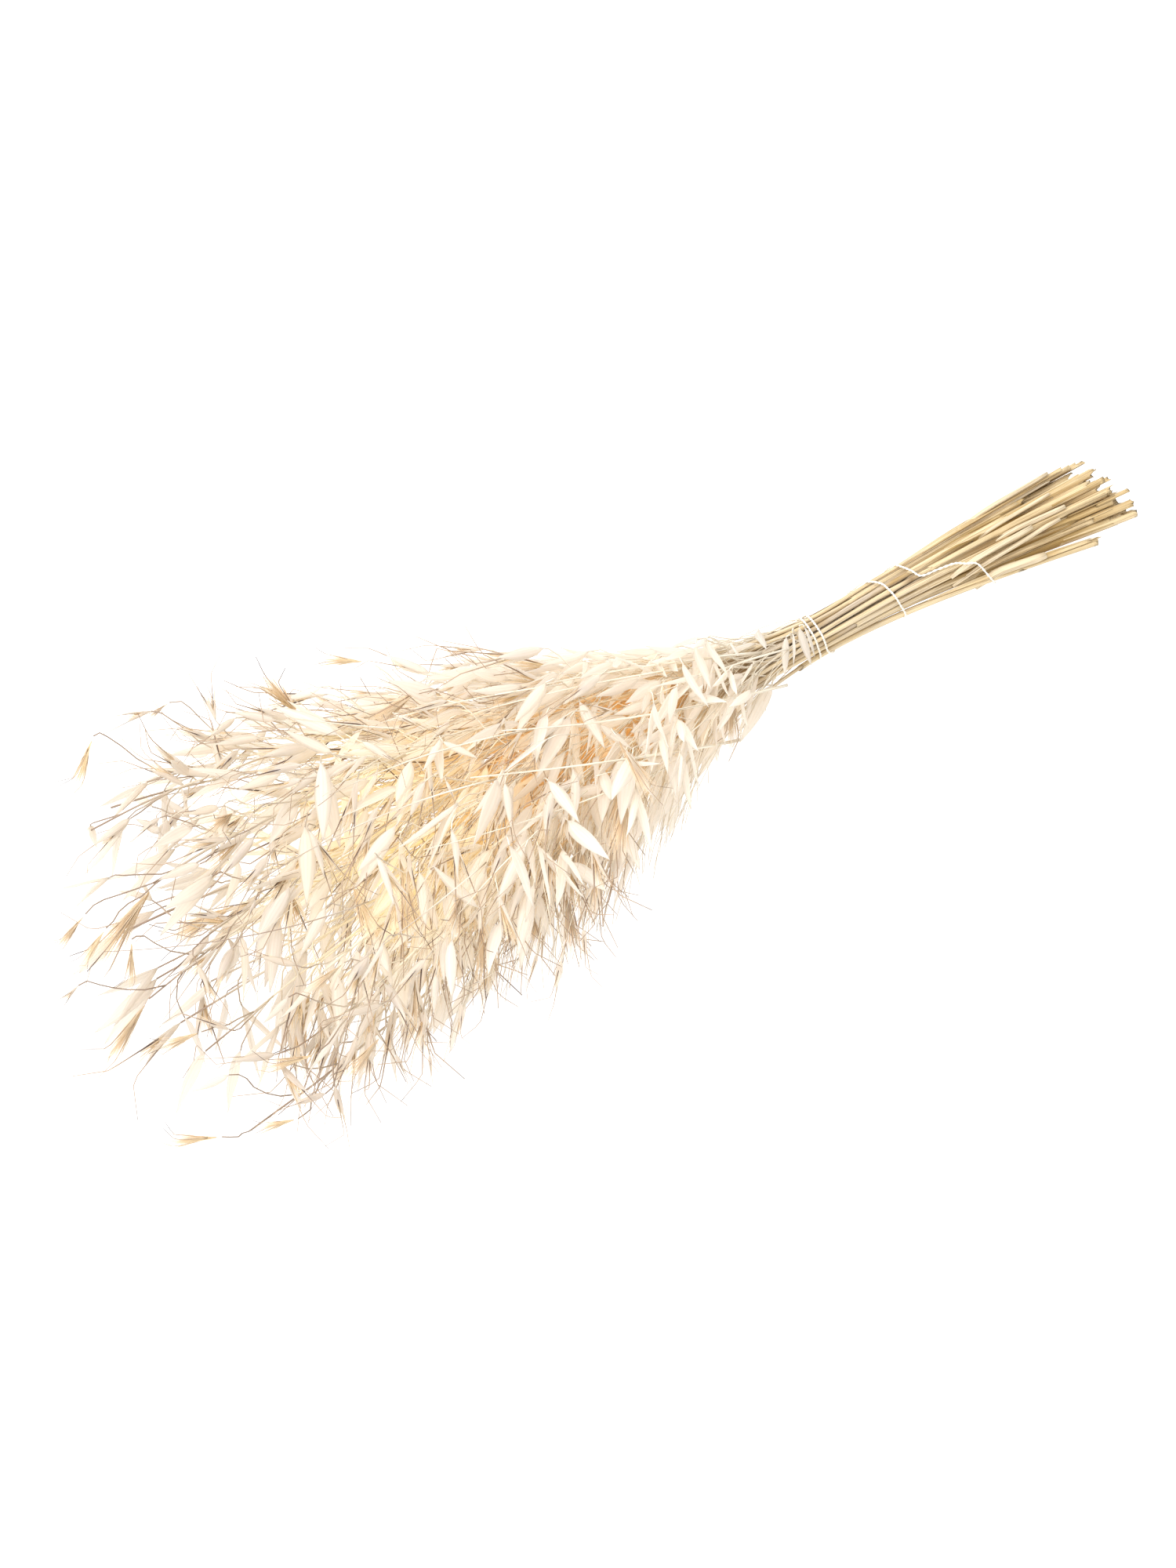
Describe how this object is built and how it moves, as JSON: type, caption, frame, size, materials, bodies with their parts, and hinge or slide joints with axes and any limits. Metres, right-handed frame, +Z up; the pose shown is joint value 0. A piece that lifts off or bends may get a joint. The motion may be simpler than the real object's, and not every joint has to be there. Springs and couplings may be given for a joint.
{
  "type": "bundle of dried oats",
  "caption": "Tied bundle of bleached dried oat stalks with loose drooping heads, lying on its side, for decoration.",
  "frame": {"origin": "centre of the bundle's bounding box, on the plane it lies on", "axes": "+X along the bundle towards the cut stem ends, heads towards -X; +Z up from the table"},
  "size_m": [0.5987, 0.2399, 0.1097],
  "materials": {
    "straw": "dry bleached straw, satin stems and papery husks",
    "thread": "undyed spun thread, matte"
  },
  "bodies": {
    "root": {"oat_stalk_01": "straw", "oat_stalk_02": "straw", "oat_stalk_03": "straw", "oat_stalk_04": "straw", "oat_stalk_05": "straw", "oat_stalk_06": "straw", "oat_stalk_07": "straw", "oat_stalk_08": "straw", "oat_stalk_09": "straw", "oat_stalk_10": "straw", "oat_stalk_11": "straw", "oat_stalk_12": "straw", "oat_stalk_13": "straw", "oat_stalk_14": "straw", "oat_stalk_15": "straw", "oat_stalk_16": "straw", "oat_stalk_17": "straw", "oat_stalk_18": "straw", "oat_stalk_19": "straw", "oat_stalk_20": "straw", "oat_stalk_21": "straw", "oat_stalk_22": "straw", "oat_stalk_23": "straw", "oat_stalk_24": "straw", "oat_stalk_25": "straw", "oat_stalk_26": "straw", "oat_stalk_27": "straw", "oat_stalk_28": "straw", "oat_stalk_29": "straw", "oat_stalk_30": "straw", "oat_stalk_31": "straw", "oat_stalk_32": "straw", "oat_stalk_33": "straw", "oat_stalk_34": "straw", "oat_stalk_35": "straw", "oat_stalk_36": "straw", "oat_stalk_37": "straw", "oat_stalk_38": "straw", "binding_thread": "thread"}
  },
  "joints": []
}
